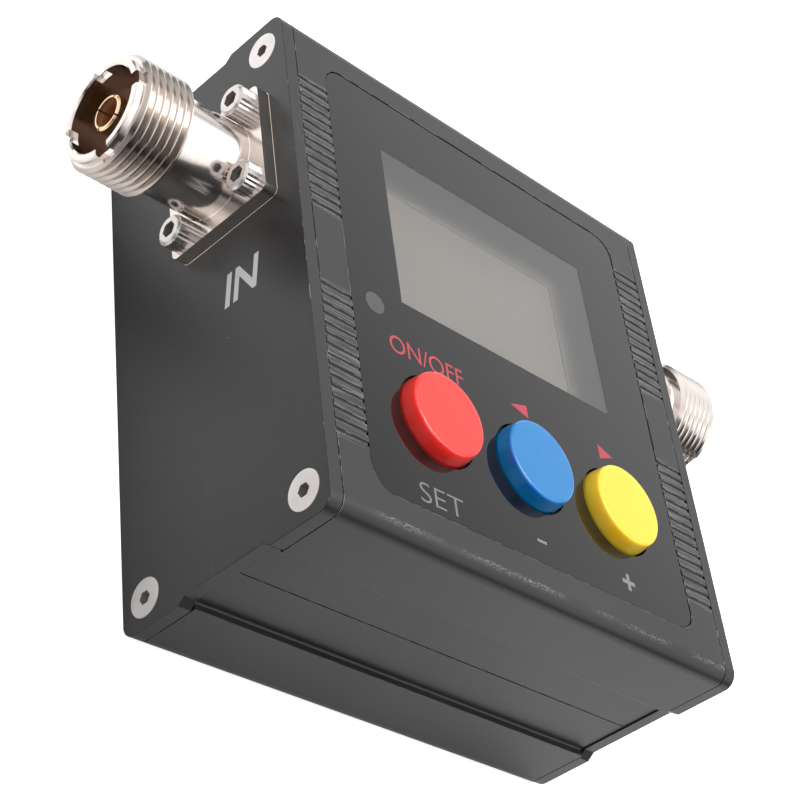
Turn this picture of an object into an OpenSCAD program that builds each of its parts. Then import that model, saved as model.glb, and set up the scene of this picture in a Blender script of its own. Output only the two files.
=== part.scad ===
// Digital power and standing wave meter in a split extruded case, lying on its back.
// X runs along the extrusion from the input jack to the output jack, Y up the face, Z out of the face.
// All sizes are in millimetres, and the origin is the centre of the back face.

/* [Case] */
// Height of the case, up the face
case_h = 76; // [75:0.5:90]
// Depth of the case, from back to face
case_d = 35; // [33:0.5:45]
// Length of the two extruded half shells
shell_l = 67; // [66:0.5:90]
// Radius of the four long outer edges
edge_r = 2; // [0.5:0.1:2.4]
// Thickness of the top and bottom side walls
side_t = 2.6; // [2.4:0.1:3.2]
// Thickness of the front wall
front_t = 2.6; // [2.2:0.1:3.2]
// Thickness of the back wall
back_t = 2; // [1.5:0.1:3]
// Height of the parting line above mid depth
split_rise = 0.3; // [-1:0.1:1]
// Height of the lap joint at the parting line
lap_h = 1; // [0.6:0.1:1.6]
// Clearance in the lap joint
lap_gap = 0.1; // [0.05:0.05:0.2]
// Width of the open line where two case pieces meet
seam_w = 0.15; // [0.1:0.05:0.3]
// Depth of the open line where two case pieces meet
seam_depth = 0.3; // [0.1:0.05:0.4]

/* [Side channels] */
// Width of the channel along each side
channel_w = 14.4; // [10:0.2:16]
// Depth of the channel in the shells
channel_depth = 1; // [0.5:0.1:1.2]
// Chamfer at the foot of the channel's walls
channel_foot = 0.2; // [0.1:0.05:0.4]
// How far the end plate stands proud of the channel's floor
notch_lip = 0.2; // [0.1:0.05:0.4]
// Run of the sloped ends of the plate's notch
notch_run = 1.2; // [0.6:0.1:2]

/* [Grooves] */
// Number of grooves in each group
groove_count = 15; // [8:1:16]
// Distance between grooves
groove_pitch = 1.5; // [1.2:0.05:1.6]
// Width of a groove
groove_w = 0.6; // [0.4:0.05:1]
// Depth of a groove
groove_depth = 0.25; // [0.1:0.05:0.7]
// Height of the innermost groove above mid height
groove_start = 6.4; // [5:0.1:8]

/* [End plates] */
// Thickness of each end plate
plate_t = 2; // [1.6:0.1:3]
// Distance of the plate screws from the case's sides
screw_inset = 4; // [3.8:0.1:4.6]
// Diameter of the plate screws
screw_d = 2.5; // [2:0.1:3]
// Head diameter of the plate screws
screw_head_d = 5; // [4.4:0.1:5.6]
// Length of the plate screws
screw_l = 8; // [6:0.5:12]
// Width across flats of the plate screws' sockets
screw_hex = 1.6; // [1.2:0.1:2]
// Depth of the plate screws' sockets
screw_hex_depth = 1.1; // [0.6:0.1:1.2]
// Wall of the screw bosses
boss_wall = 1.4; // [1:0.1:1.6]
// Radial clearance round a screw
screw_gap = 0.05; // [0.03:0.01:0.1]

/* [Front panel] */
// Width of the front panel
panel_w = 56.8; // [54:0.2:60]
// Height of the front panel
panel_h = 65.4; // [62:0.2:66]
// Thickness of the front panel
panel_t = 1; // [0.8:0.1:1.2]
// Corner radius of the front panel
panel_r = 3; // [1:0.5:5]
// Depth of the panel's face below the case's face
panel_drop = 0.1; // [0.1:0.05:0.4]
// Gap round the front panel
panel_gap = 0.15; // [0.15:0.05:0.5]
// Thickness of the tape under the panel
tape_t = 0.2; // [0.1:0.05:0.3]
// Clearance round the panes set in the panel
pane_gap = 0.03; // [0.02:0.01:0.1]
// Width of the ledge that carries the panel
ledge_w = 1.6; // [1.2:0.1:2]

/* [Display] */
// Width of the display window
window_w = 39; // [34:0.5:42]
// Height of the display window
window_h = 25.6; // [22:0.2:27]
// Height of the window's centre above mid height
window_y = 10.4; // [10:0.1:11]
// Thickness of the panel's lip in front of the display window
window_lip = 0.15; // [0.15:0.05:0.4]
// Width of the panel's lip in front of the display window
window_lap = 1.3; // [0.5:0.1:1.5]
// Width of the display's viewing area
view_w = 34; // [30:0.5:36]
// Height of the display's viewing area
view_h = 21.2; // [20:0.2:22]
// Width of the display module's frame
module_w = 50; // [46:0.5:51]
// Frame between the viewing area and the frame's upper edge
module_top = 7.6; // [6.6:0.1:8]
// Frame between the viewing area and the frame's lower edge
module_foot = 2.6; // [2:0.1:2.8]
// Thickness of the frame over the display glass
module_lip = 0.1; // [0.1:0.1:0.8]
// Depth of the frame's face below the case's face
module_drop = 4; // [3.4:0.1:4.6]
// Thickness of the display glass
glass_t = 1.8; // [1:0.1:2.4]
// How far the display glass reaches under the frame
glass_lap = 1.6; // [1:0.1:1.8]
// Clearance round the display glass
glass_gap = 0.1; // [0.05:0.05:0.2]
// Number of display pins
pin_count = 10; // [6:1:14]
// Distance between display pins
pin_pitch = 2; // [1.5:0.1:2.54]
// Width of a square display pin
pin_s = 0.6; // [0.4:0.05:0.8]
// Clearance round a display pin in the board
pin_gap = 0.1; // [0.05:0.05:0.2]
// How far the display pins stand out under the board
pin_tail = 1.2; // [0.6:0.1:2]

/* [Indicator] */
// Diameter of the indicator window
lamp_window_d = 3.2; // [2.4:0.1:3.4]
// Distance of the indicator inside the panel's left edge
lamp_inset = 4; // [3.6:0.1:5]
// Diameter of the lamp
lamp_d = 3; // [2.4:0.1:3.2]
// Clearance between the lamp and the display's frame
lamp_gap = 0.6; // [0.3:0.1:1]
// Length of the lamp's leads above the board
lamp_lead_l = 2; // [1:0.5:3]
// Width of the lamp's square leads
lamp_lead_s = 0.5; // [0.3:0.05:0.7]
// Distance between the lamp's leads
lamp_lead_pitch = 1.5; // [1:0.1:1.8]

/* [Buttons] */
// Distance between buttons
button_pitch = 16.4; // [15:0.1:17]
// How far the middle button stands to the right of the middle
button_shift = 0.3; // [0:0.1:0.6]
// Distance of the buttons below mid height
button_y = 18.9; // [17:0.1:21]
// Diameter of a cap
cap_d = 12; // [11:0.1:12.6]
// Height of a cap's top above the face
cap_rise = 2.05; // [1.5:0.05:3]
// Overall height of a cap
cap_h = 5.6; // [5:0.1:6.4]
// Rounding of a cap's upper edge
cap_edge = 0.35; // [0.2:0.05:1]
// How far a cap's side leans in at its upper edge
cap_lean = 0.25; // [0:0.05:0.4]
// Height of the leaning part of a cap's side, with its rounding
cap_lean_h = 2; // [1.4:0.1:2.4]
// Wall of a cap
cap_wall = 1.2; // [0.8:0.1:1.6]
// Clearance between a cap and its hole
cap_gap = 0.3; // [0.2:0.05:0.5]
// Travel of a button
travel = 0.5; // [0.2:0.05:0.8]

/* [Switches] */
// Side of a switch body
switch_s = 12; // [11:0.5:12.5]
// Height of a switch body under its cover
switch_h = 3.2; // [3:0.1:3.6]
// Thickness of a switch cover plate
cover_t = 0.3; // [0.2:0.05:0.5]
// Diameter of a plunger
plunger_d = 6.8; // [6:0.1:7.4]
// Height of the plunger's round part above the cover
plunger_rise = 0.9; // [0.8:0.1:1.2]
// Side of the plunger's square stub
stub_s = 3.8; // [3:0.1:4.4]
// Clearance round the plunger and its stub
plunger_gap = 0.1; // [0.05:0.05:0.2]
// Depth of the plunger's well in the switch body
well_depth = 1.3; // [1.2:0.1:1.6]

/* [Board] */
// Thickness of the main board
board_t = 1.6; // [1:0.1:2]
// Depth of the board's upper side below the case's face
board_drop = 9.4; // [9:0.1:10.4]
// Clearance round the main board
board_gap = 0.2; // [0.1:0.05:0.4]
// Clearance under the front wall for sliding the board in from the end
slide_gap = 0.2; // [0.1:0.05:0.4]
// How far the slot ribs reach from the side walls
slot_reach = 1.6; // [1:0.1:2]
// Thickness of a slot rib
slot_t = 1; // [0.8:0.1:1.4]
// Side of the microcontroller
chip_s = 10; // [7:0.5:12]
// Thickness of the chips
chip_t = 1.4; // [1:0.1:2]
// Length of a small chip
small_chip_l = 5; // [3:0.5:7]
// Width of a small chip
small_chip_w = 4; // [3:0.5:6]
// Distance between the small chips
small_chip_pitch = 10; // [8:0.5:14]

/* [Coupler] */
// Width of the through line
line_w = 3; // [2:0.1:4]
// Thickness of the through line and the sense lines
line_t = 0.3; // [0.1:0.05:0.5]
// How far the through line's ends stay inside the end plates
line_inset = 9; // [7:0.5:9.5]
// How far a jack's solder pin lies under the through line
line_lap = 1.5; // [1:0.1:1.8]
// Width of a sense line
sense_w = 1; // [0.6:0.1:1.5]
// Length of a sense line
sense_l = 30; // [20:1:34]
// Distance from the through line to a sense line
sense_gap = 1.2; // [0.8:0.1:1.6]
// Length of a diode or resistor
detector_l = 2; // [1.2:0.1:2.4]
// Length of the shield can
can_l = 42; // [38:0.5:44]
// Width of the shield can
can_w = 14; // [11:0.5:15]
// Height of the shield can
can_h = 6; // [4:0.1:7]
// Wall of the shield can
can_t = 0.3; // [0.2:0.05:0.5]
// Width of the slot where the line passes the can
can_slot_w = 5; // [4.4:0.1:6]
// Height of the slot where the line passes the can
can_slot_h = 1.2; // [0.8:0.1:1.6]

/* [Jacks] */
// Height of the jacks' axis above mid height
jack_y = 17.6; // [16:0.1:18.4]
// Side of the square flange
flange_s = 17.5; // [17:0.1:19]
// Thickness of the flange
flange_t = 2; // [1.5:0.1:2.6]
// Corner radius of the flange
flange_r = 1; // [0.4:0.1:1.5]
// Distance between the flange's screws
flange_pitch = 12.7; // [12.6:0.1:13]
// Diameter of the smooth barrel
barrel_d = 13.2; // [12.6:0.1:13.3]
// Chamfer at the foot of the barrel
foot_edge = 0.1; // [0.05:0.01:0.12]
// How far the lip at the foot of the flange stands out
flange_lip = 0.05; // [0.05:0.05:0.2]
// Thickness of the lip at the foot of the flange
flange_lip_t = 0.1; // [0.1:0.05:0.3]
// Outer diameter of the thread
thread_d = 15.875; // [15.5:0.005:16.2]
// Depth of the thread
thread_depth = 0.62; // [0.4:0.02:0.7]
// Pitch of the thread
thread_pitch = 1.058; // [1:0.002:1.1]
// Number of thread crests
thread_count = 7; // [5:1:7]
// Width of the flat on a thread crest
thread_flat = 0.16; // [0.1:0.02:0.3]
// Distance of the first crest from the end plate
thread_start = 12.1; // [11:0.1:12.4]
// Diameter of the smooth nose
nose_d = 14.1; // [13.8:0.1:14.4]
// Distance of the nose's rim from the end plate
jack_l = 20; // [19.8:0.1:22]
// Chamfer on the rim
rim_edge = 0.2; // [0.15:0.05:0.5]
// Diameter of the jack's cavity
cavity_d = 11.8; // [11:0.1:12]
// Depth of the jack's cavity
cavity_depth = 13; // [12:0.5:14]
// Thickness of the insulator's disc in the cavity
disc_t = 4; // [1:0.1:5]
// Width of a notch in the rim
notch_w = 2; // [1.6:0.1:2.6]
// Depth of a notch in the rim
notch_depth = 1.3; // [0.8:0.1:1.5]
// Diameter of the boss behind the flange
rear_d = 11; // [10:0.1:11.2]
// Radial clearance of the boss in the end plate
rear_gap = 0.1; // [0.05:0.05:0.2]
// Diameter of the insulator's core
core_d = 8; // [7.6:0.1:8.4]
// Radial clearance of the insulator and of the contact in it
core_gap = 0.05; // [0.03:0.01:0.1]
// Outer diameter of the centre contact
contact_d = 4.9; // [4.8:0.1:6]
// Bore of the centre contact
contact_bore = 4; // [3.8:0.05:4.2]
// Depth of the contact's bore
contact_depth = 9; // [6.5:0.5:9.5]
// How far the contact's tip sits inside the rim
contact_inset = 1; // [0.4:0.1:1.6]
// Chamfer on the contact's tip
contact_edge = 0.2; // [0.1:0.05:0.35]
// Width of the slits in the contact
slit_w = 0.25; // [0.2:0.05:0.6]
// Length of the slits in the contact
slit_l = 6; // [4:0.5:6]
// Diameter of the contact's solder pin
solder_d = 1.8; // [1.4:0.1:2.2]
// Gap left for solder between the pin and the through line
solder_gap = 0.05; // [0.02:0.01:0.1]
// Diameter of the flange screws
cap_screw_d = 2.5; // [2:0.1:2.6]
// Head diameter of the flange screws
cap_head_d = 4.4; // [3.8:0.1:4.5]
// Head height of the flange screws
cap_head_h = 2.5; // [2:0.1:3]
// Length of the flange screws under the head
cap_screw_l = 5; // [3.8:0.1:5.5]
// Chamfer on the flange screws' heads
cap_head_edge = 0.3; // [0.2:0.05:0.5]
// Number of ridges in the knurl of a flange screw
knurl_count = 24; // [16:1:32]
// Depth of the knurl
knurl_depth = 0.14; // [0.08:0.02:0.2]
// Width across flats of the flange screws' sockets
cap_hex = 2; // [1.5:0.1:2.2]
// Depth of the flange screws' sockets
cap_hex_depth = 1.3; // [0.8:0.1:1.6]

/* [Battery] */
// Length of the battery
battery_l = 46; // [40:1:48]
// Width of the battery
battery_w = 30; // [26:1:34]
// Thickness of the battery
battery_t = 8; // [6:0.5:8.5]
// Radius of the battery's long edges
battery_r = 2; // [1:0.1:2.8]
// Thickness of the foam pad under the battery
pad_t = 1; // [0.5:0.1:1.5]
// Distance of the battery's middle above the case's lower side
battery_up = 26; // [24:0.5:28]
// Distance of the battery left of the middle
battery_x = 4; // [3:0.5:5]
// Thickness of the battery's protection board
guard_l = 3; // [2:0.1:4]
// Width of the battery's protection board
guard_w = 22; // [14:0.5:24]
// Height of the battery's protection board
guard_h = 4; // [3:0.1:5]
// Diameter of a battery lead
lead_d = 1.2; // [0.8:0.1:1.4]
// Distance between the battery leads
lead_pitch = 2; // [1.8:0.1:2.5]
// Bend radius of the battery leads
lead_bend = 2.5; // [2:0.1:3]
// Side of the battery plug along X
plug_l = 4.5; // [4:0.1:5]
// Width of the battery plug
plug_w = 6; // [5.5:0.1:7]
// Height of the battery plug outside its socket
plug_h = 3; // [2:0.1:4]
// How far the battery socket is wider than its plug on each side
socket_rim = 1; // [0.5:0.1:1.5]
// Height of the battery socket on the board
socket_h = 4; // [3.5:0.1:5]

/* [Charging socket] */
// Width of the charging socket
usb_w = 7.6; // [7:0.1:8.4]
// Height of the charging socket
usb_h = 2.8; // [2.4:0.1:3.4]
// Length of the charging socket
usb_l = 6.6; // [6:0.1:8]
// Wall of the charging socket
usb_wall = 0.3; // [0.2:0.05:0.4]
// Distance of the charging socket's middle above the case's lower side
usb_up = 16; // [14:0.5:20]
// Clearance round the charging socket in the end plate
usb_gap = 0.3; // [0.2:0.05:0.6]
// How far the charging socket's mouth sits inside the plate's face
usb_inset = 0.4; // [0.2:0.1:0.8]
// Thickness of the charging socket's tongue
tongue_t = 0.7; // [0.5:0.05:0.9]
// Width of the charging socket's tongue
tongue_w = 3.8; // [3:0.1:5]

/* [Hidden] */
$fn = 64;
// How far cuts run past a face
over = 1;
// How far joined shapes are sunk into each other
bite = 0.4;
case_mid = case_d / 2;
split_z = case_mid + split_rise;
inner_y = case_h / 2 - side_t;
inner_front = case_d - front_t;
lap_t = (side_t - channel_depth) * 0.45;
plate_x = shell_l / 2;
outer_x = plate_x + plate_t;
notch_depth_y = channel_depth - notch_lip;
screw_y = case_h / 2 - screw_inset;
boss_r = screw_d / 2 + screw_gap + boss_wall;
head_h = (screw_head_d - screw_d) / 2;
panel_z = case_d - panel_drop - panel_t;
pocket_z = panel_z - tape_t;
pocket_w = panel_w + 2 * panel_gap;
pocket_h = panel_h + 2 * panel_gap;
opening_w = panel_w - 2 * ledge_w;
opening_h = panel_h - 2 * ledge_w;
opening_r = max(panel_r - ledge_w, 0.5);
board_top = case_d - board_drop;
board_z = board_top - board_t;
board_w = 2 * (inner_y - board_gap);
board_l = shell_l - 2 * board_gap;
module_z = case_d - module_drop;
module_h = view_h + module_top + module_foot;
module_y = window_y + (module_top - module_foot) / 2;
module_base = module_y - module_h / 2;
glass_z = module_z - module_lip - glass_t;
glass_w = view_w + 2 * glass_lap;
glass_h = view_h + 2 * glass_lap;
pin_y = module_y + module_h / 2 - pin_pitch;
pin_span = (pin_count - 1) * pin_pitch;
lamp_x = -panel_w / 2 + lamp_inset;
lamp_y = module_base - lamp_gap - lamp_d / 2;
slide_z = inner_front - slide_gap;
cap_top = case_d + cap_rise;
cap_z = cap_top - cap_h;
hole_d = cap_d + 2 * cap_gap;
cover_z = board_top + switch_h;
plunger_z = cover_z + cover_t - well_depth + travel;
shoulder_z = cover_z + cover_t + plunger_rise;
post_d = stub_s * sqrt(2) + 2 * plunger_gap + cap_wall;
line_z = board_z - line_t;
line_end = plate_x - line_inset;
pin_l = outer_x - line_end + line_lap;
jack_z = line_z - solder_gap - solder_d / 2;
sense_y = line_w / 2 + sense_gap + sense_w / 2;
lip_s = flange_s + 2 * flange_lip;
thread_r = thread_d / 2;
root_r = thread_r - thread_depth;
thread_end = thread_start + (thread_count - 0.5) * thread_pitch;
cavity_floor = jack_l - cavity_depth;
insulator_z = cavity_floor + disc_t;
contact_tip = jack_l - contact_inset;
battery_y = case_h / 2 - battery_up;
battery_z = back_t + pad_t;
battery_end = battery_l / 2 - battery_x;
guard_z = battery_z + battery_t / 2;
lead_x = battery_end + guard_l + lead_bend;
plug_z = board_z - socket_h - plug_h;
usb_y = case_h / 2 - usb_up;
usb_end = outer_x - usb_inset;
usb_z = board_z - usb_h / 2;
button_x = [button_shift - button_pitch, button_shift, button_shift + button_pitch];

// Shapes that repeat

module round_rect(w, h, r) {
  square([w - 2 * r, h], center = true);
  square([w, h - 2 * r], center = true);
  for (sx = [-1, 1], sy = [-1, 1])
    translate([sx * (w / 2 - r), sy * (h / 2 - r)]) circle(r);
}

// Stands a drawing of the cross-section (Y across, Z up) on its side and draws it out along X
module along_x(length) {
  rotate([90, 0, 90]) linear_extrude(length, center = true) children();
}

module box(size, at) {
  translate(at) translate([-size[0] / 2, -size[1] / 2, 0]) cube(size);
}

// Case outline in the cross-section, without its channels, drawn in all round by inset
module case_block(inset = 0) {
  r = max(edge_r - inset, inset);
  translate([0, case_mid]) round_rect(case_h - 2 * inset, case_d - 2 * inset, r);
}

// One channel, cut down from the side y = case_h / 2
module channel_cut() {
  floor_y = case_h / 2 - channel_depth;
  half = channel_w / 2;
  polygon([
    [case_h / 2 + over, case_mid - half],
    [floor_y + channel_foot, case_mid - half],
    [floor_y, case_mid - half + channel_foot],
    [floor_y, case_mid + half - channel_foot],
    [floor_y + channel_foot, case_mid + half],
    [case_h / 2 + over, case_mid + half]
  ]);
}

module case_outline() {
  difference() {
    case_block();
    channel_cut();
    mirror([1, 0]) channel_cut();
  }
}

// One notch of an end plate, with sloped ends, widened all round by inset
module plate_notch(inset) {
  floor_y = case_h / 2 - notch_depth_y - inset;
  half = channel_w / 2 - notch_run / 2 + inset;
  slope = notch_run / notch_depth_y;
  rise = notch_run + slope * over;
  polygon([
    [floor_y, case_mid - half],
    [floor_y, case_mid + half],
    [case_h / 2 + over, case_mid + half + rise],
    [case_h / 2 + over, case_mid - half - rise]
  ]);
}

module plate_outline(inset = 0) {
  difference() {
    case_block(inset);
    plate_notch(inset);
    mirror([1, 0]) plate_notch(inset);
  }
}

// Half of the cross-section on one side of the parting line
module half_plane(above) {
  translate([-case_h, above ? split_z : split_z - 2 * case_d]) square([2 * case_h, 2 * case_d]);
}

// The two screw bosses of a half shell at height z, filled out towards the wall at wall_z
module bosses(z, wall_z) {
  for (s = [-1, 1]) {
    translate([s * screw_y, z]) circle(boss_r);
    translate([s * (screw_y + screw_inset / 2), (z + wall_z) / 2])
      square([screw_inset, abs(wall_z - z)], center = true);
  }
}

module boss_bores(z) {
  for (s = [-1, 1]) translate([s * screw_y, z]) circle(screw_d / 2 + screw_gap);
}

// Two groups of rounded grooves across a face at height z, which looks up (1) or down (-1)
module grooves(z, facing) {
  r = groove_w * groove_w / (8 * groove_depth) + groove_depth / 2;
  for (s = [-1, 1], i = [0 : groove_count - 1])
    translate([s * (groove_start + i * groove_pitch), z + facing * (r - groove_depth)]) circle(r);
}

// The open line at the parting line on both sides, in the channels' floors
module seam() {
  for (s = [-1, 1])
    translate([s * (case_h / 2 - channel_depth), split_z + seam_w / 2])
      square([2 * seam_depth, seam_w], center = true);
}

// The lap at the parting line on both inner walls, from a little below the line
module lap(width, height) {
  for (s = [-1, 1])
    translate([s * (inner_y + width / 2), split_z + (height - bite) / 2])
      square([width, height + bite], center = true);
}

module panel_opening() {
  round_rect(opening_w, opening_h, opening_r);
}

// The four places of the flange screws round the jack's axis
module flange_places() {
  for (sy = [-1, 1], sz = [-1, 1])
    translate([sz * flange_pitch / 2, sy * flange_pitch / 2, 0]) children();
}

// Puts a piece drawn along +Z on the left jack's axis, with z = 0 on the end plate's outer face
module at_left_jack() {
  translate([-outer_x, jack_y, jack_z]) rotate([0, -90, 0]) children();
}

// The four places of the plate screws on the left end plate, each pointing into the case
module at_plate_screws() {
  for (sy = [-1, 1], z = [screw_inset, case_d - screw_inset])
    translate([-outer_x, sy * screw_y, z]) rotate([0, 90, 0]) children();
}

// Case

module front_profile() {
  bore_z = case_d - screw_inset;
  difference() {
    union() {
      difference() {
        intersection() {
          case_outline();
          half_plane(true);
        }
        translate([-inner_y, 0]) square([2 * inner_y, inner_front]);
      }
      intersection() {
        case_outline();
        bosses(bore_z, case_d);
      }
      for (s = [-1, 1], z = [board_z - slot_t / 2, board_top + slot_t / 2])
        translate([s * (inner_y - (slot_reach - bite) / 2), z])
          square([slot_reach + bite, slot_t], center = true);
    }
    boss_bores(bore_z);
    lap(lap_t + lap_gap, lap_h + lap_gap);
    seam();
    grooves(case_d, 1);
  }
}

module front_shell() {
  color("dimgray") difference() {
    along_x(shell_l) front_profile();
    translate([0, 0, pocket_z])
      linear_extrude(front_t + over) round_rect(pocket_w, pocket_h, panel_r + panel_gap);
    translate([0, 0, inner_front - over]) linear_extrude(front_t + over) panel_opening();
  }
}

module rear_profile() {
  difference() {
    union() {
      difference() {
        intersection() {
          case_outline();
          half_plane(false);
        }
        translate([-inner_y, back_t]) square([2 * inner_y, case_d]);
      }
      intersection() {
        case_outline();
        bosses(screw_inset, 0);
      }
      lap(lap_t, lap_h);
    }
    boss_bores(screw_inset);
    grooves(0, -1);
  }
}

module rear_shell() {
  color("dimgray") along_x(shell_l) rear_profile();
}

// An end plate drawn on the left, with its countersunk holes and jack holes. Its inner face is a little
// smaller than the shells' ends, so an open line runs round the joint.
module end_plate() {
  skin_t = plate_t - seam_w;
  difference() {
    union() {
      translate([skin_t / 2 - outer_x, 0, 0]) along_x(skin_t) plate_outline();
      translate([-plate_x - plate_t / 2, 0, 0]) along_x(plate_t) plate_outline(seam_depth);
    }
    at_plate_screws() {
      cylinder(h = head_h + screw_gap, d1 = screw_head_d + 2 * screw_gap, d2 = screw_d);
      cylinder(h = 2 * plate_t + over, d = screw_d + 2 * screw_gap, center = true);
    }
    at_left_jack() {
      cylinder(h = 3 * plate_t, d = rear_d + 2 * rear_gap, center = true);
      flange_places() cylinder(h = 3 * plate_t, d = cap_screw_d + 2 * screw_gap, center = true);
    }
  }
}

module left_end_plate() {
  color("dimgray") end_plate();
}

module right_end_plate() {
  color("dimgray") difference() {
    mirror([1, 0, 0]) end_plate();
    box([3 * plate_t, usb_w + 2 * usb_gap, usb_h + 2 * usb_gap],
        [outer_x, -usb_y, usb_z - usb_h / 2 - usb_gap]);
  }
}

module plate_screw() {
  difference() {
    union() {
      cylinder(h = head_h, d1 = screw_head_d, d2 = screw_d);
      cylinder(h = screw_l, d = screw_d);
    }
    translate([0, 0, -over])
      cylinder(h = screw_hex_depth + over, d = screw_hex / cos(30), $fn = 6);
  }
}

module left_plate_screws() {
  color("silver") at_plate_screws() plate_screw();
}

module right_plate_screws() {
  color("silver") mirror([1, 0, 0]) at_plate_screws() plate_screw();
}

// Front panel

// A stepped block at the display window: the part in the lip's opening and the wider part behind it,
// drawn in by gap all round and reaching past the panel's back and face by past
module window_block(gap = 0, past = 0) {
  w = window_w - 2 * gap;
  h = window_h - 2 * gap;
  back = [0, window_y, panel_z - past];
  box([w, h, panel_t + 2 * past], back);
  box([w + 2 * window_lap, h + 2 * window_lap, panel_t + past - window_lip - gap], back);
}

module front_panel() {
  color("#2b2b2d") difference() {
    translate([0, 0, panel_z]) linear_extrude(panel_t) difference() {
      round_rect(panel_w, panel_h, panel_r);
      translate([lamp_x, lamp_y]) circle(d = lamp_window_d);
      for (x = button_x) translate([x, -button_y]) circle(d = hole_d);
    }
    window_block(past = over);
  }
}

module panel_tape() {
  color("black") translate([0, 0, pocket_z]) linear_extrude(tape_t) difference() {
    round_rect(panel_w, panel_h, panel_r);
    panel_opening();
  }
}

module display_window() {
  color("gainsboro", 0.4) window_block(gap = pane_gap);
}

module indicator_window() {
  color("gray") translate([lamp_x, lamp_y, panel_z])
    cylinder(h = panel_t, d = lamp_window_d - 2 * pane_gap);
}

// Buttons

module cap_outline() {
  r = cap_d / 2;
  top_r = r - cap_lean;
  edge_h = cap_h - cap_edge;
  polygon([[0, 0], [r, 0], [r, cap_h - cap_lean_h], [top_r, edge_h], [0, edge_h]]);
  square([top_r - cap_edge, cap_h]);
  translate([top_r - cap_edge, edge_h]) intersection() {
    circle(cap_edge);
    square(cap_edge);
  }
}

module cap(x) {
  hollow_h = cap_h - cap_wall;
  stub_hole = stub_s + 2 * plunger_gap;
  translate([x, -button_y, 0]) difference() {
    union() {
      difference() {
        translate([0, 0, cap_z]) rotate_extrude() cap_outline();
        translate([0, 0, cap_z - over]) cylinder(h = hollow_h + over, d = cap_d - 2 * cap_wall);
      }
      translate([0, 0, shoulder_z]) cylinder(h = cap_top - cap_wall + bite - shoulder_z, d = post_d);
    }
    box([stub_hole, stub_hole, slide_z + plunger_gap - shoulder_z + over], [0, 0, shoulder_z - over]);
  }
}

module red_cap() {
  color("tomato") cap(button_x[0]);
}

module blue_cap() {
  color("steelblue") cap(button_x[1]);
}

module yellow_cap() {
  color("gold") cap(button_x[2]);
}

module plunger(x) {
  translate([x, -button_y, 0]) {
    translate([0, 0, plunger_z]) cylinder(h = shoulder_z - plunger_z, d = plunger_d);
    box([stub_s, stub_s, slide_z - plunger_z], [0, 0, plunger_z]);
  }
}

module red_plunger() {
  color("white") plunger(button_x[0]);
}

module blue_plunger() {
  color("white") plunger(button_x[1]);
}

module yellow_plunger() {
  color("white") plunger(button_x[2]);
}

module switch_bodies() {
  well_d = plunger_d + 2 * plunger_gap;
  color("black") for (x = button_x) difference() {
    box([switch_s, switch_s, switch_h], [x, -button_y, board_top]);
    translate([x, -button_y, cover_z + cover_t - well_depth - plunger_gap])
      cylinder(h = well_depth + over, d = well_d);
  }
}

module switch_covers() {
  color("silver") for (x = button_x) difference() {
    box([switch_s, switch_s, cover_t], [x, -button_y, cover_z]);
    translate([x, -button_y, cover_z - over])
      cylinder(h = cover_t + 2 * over, d = plunger_d + 2 * plunger_gap);
  }
}

// Board and display

module at_pins() {
  for (i = [0 : pin_count - 1]) translate([i * pin_pitch - pin_span / 2, pin_y, 0]) children();
}

module main_board() {
  hole_s = pin_s + 2 * pin_gap;
  color("darkgreen") difference() {
    box([board_l, board_w, board_t], [0, 0, board_z]);
    at_pins() box([hole_s, hole_s, board_t + 2 * over], [0, 0, board_z - over]);
  }
}

module display_frame() {
  color("lightgray") difference() {
    box([module_w, module_h, module_z - board_top], [0, module_y, board_top]);
    box([view_w, view_h, module_lip + over], [0, window_y, module_z - module_lip]);
    box([glass_w + 2 * glass_gap, glass_h + 2 * glass_gap, glass_t], [0, window_y, glass_z]);
  }
}

module display_glass() {
  color("tan") box([glass_w, glass_h, glass_t], [0, window_y, glass_z]);
}

module display_pins() {
  color("gold") at_pins() box([pin_s, pin_s, board_t + pin_tail], [0, 0, board_z - pin_tail]);
}

module status_lamp() {
  foot = board_top + lamp_lead_l;
  dome_r = lamp_d / 2;
  color("whitesmoke") translate([lamp_x, lamp_y, 0]) {
    translate([0, 0, foot]) cylinder(h = slide_z - dome_r - foot, d = lamp_d);
    translate([0, 0, slide_z - dome_r - bite]) cylinder(h = bite, d = lamp_d);
    translate([0, 0, slide_z - dome_r]) rotate_extrude() intersection() {
      circle(dome_r);
      translate([0, -bite]) square([dome_r, dome_r + bite]);
    }
    for (s = [-1, 1])
      box([lamp_lead_s, lamp_lead_s, lamp_lead_l + bite], [s * lamp_lead_pitch / 2, 0, board_top]);
  }
}

module microcontroller() {
  color("black") box([chip_s, chip_s, chip_t], [button_x[0], -button_y, board_z - chip_t]);
}

module small_chips() {
  color("black") for (s = [-1, 0, 1])
    box([small_chip_l, small_chip_w, chip_t], [s * small_chip_pitch, 0, board_z - chip_t]);
}

// Directional coupler on the underside of the board

module through_line() {
  color("gold") box([2 * line_end, line_w, line_t], [0, jack_y, line_z]);
}

module sense_lines() {
  color("gold") for (s = [-1, 1])
    box([sense_l, sense_w, line_t], [0, jack_y + s * sense_y, line_z]);
}

module detector_parts() {
  color("black") for (sx = [-1, 1], sy = [-1, 1])
    box([detector_l, sense_w, sense_w],
        [sx * (sense_l + detector_l) / 2, jack_y + sy * sense_y, board_z - sense_w]);
}

module shield_can() {
  color("silver") difference() {
    box([can_l, can_w, can_h], [0, jack_y, board_z - can_h]);
    box([can_l - 2 * can_t, can_w - 2 * can_t, can_h], [0, jack_y, board_z - can_h + can_t]);
    box([can_l + over, can_slot_w, can_slot_h + over], [0, jack_y, board_z - can_slot_h]);
  }
}

// Jacks, drawn along +Z with the end plate's outer face at z = 0

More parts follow.
